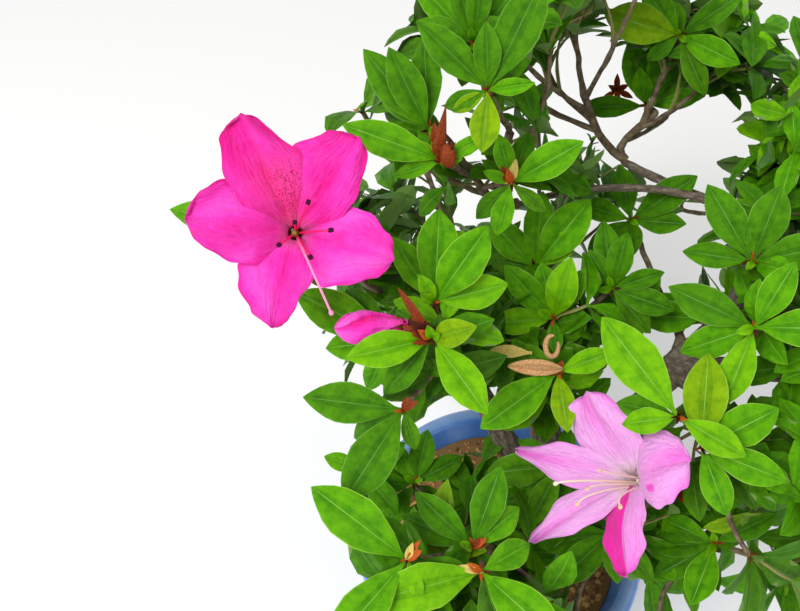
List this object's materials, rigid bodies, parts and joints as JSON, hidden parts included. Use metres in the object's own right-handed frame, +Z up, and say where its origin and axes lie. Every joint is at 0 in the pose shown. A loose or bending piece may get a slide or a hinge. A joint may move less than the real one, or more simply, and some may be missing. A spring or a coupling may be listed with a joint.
{
  "type": "potted azalea shrub",
  "caption": "Small evergreen azalea shrub in flower, with a short forked trunk, open whorled crown and round glazed pot.",
  "frame": {"origin": "centre of the pot's flat underside, on the surface it stands on", "axes": "+Z up; the picture was taken looking along +Y and down, with +X to the right"},
  "size_m": [0.2826, 0.2926, 0.3653],
  "materials": {
    "glaze": "cornflower blue glaze on stoneware, glossy, thinner and paler on the rim",
    "bark_mix": "granular brown and tan potting mix of bark chips and clay grit, dry and matte",
    "wood": "grey-brown finely flaking bark, matte",
    "foliage": "glossy bright green pointed leaves with a pale midrib, with magenta and pale pink blooms"
  },
  "bodies": {
    "root": {"bough_cross": "wood", "bough_front": "wood", "bough_front_right": "wood", "bough_left": "wood", "bough_left_low": "wood", "bough_middle": "wood", "bough_rear": "wood", "bough_rear_low": "wood", "bough_right": "wood", "bough_right_far": "wood", "bough_right_front": "wood", "bough_right_low": "wood", "bough_right_upper": "wood", "mass_bloom_left": "foliage", "mass_front_left_low": "foliage", "mass_front_low": "foliage", "mass_front_right": "foliage", "mass_inner": "foliage", "mass_left_front": "foliage", "mass_left_low": "foliage", "mass_left_rear_low": "foliage", "mass_middle_front": "foliage", "mass_middle_rear": "foliage", "mass_rear": "foliage", "mass_rear_left": "foliage", "mass_rear_right_top": "foliage", "mass_rear_top": "foliage", "mass_right": "foliage", "mass_right_far": "foliage", "mass_right_front": "foliage", "mass_right_low": "foliage", "mass_right_rear": "foliage", "mass_right_rear_low": "foliage", "mass_top": "foliage", "mass_top_left": "foliage", "pot": "glaze", "soil": "bark_mix", "trunk": "wood"}
  },
  "joints": []
}
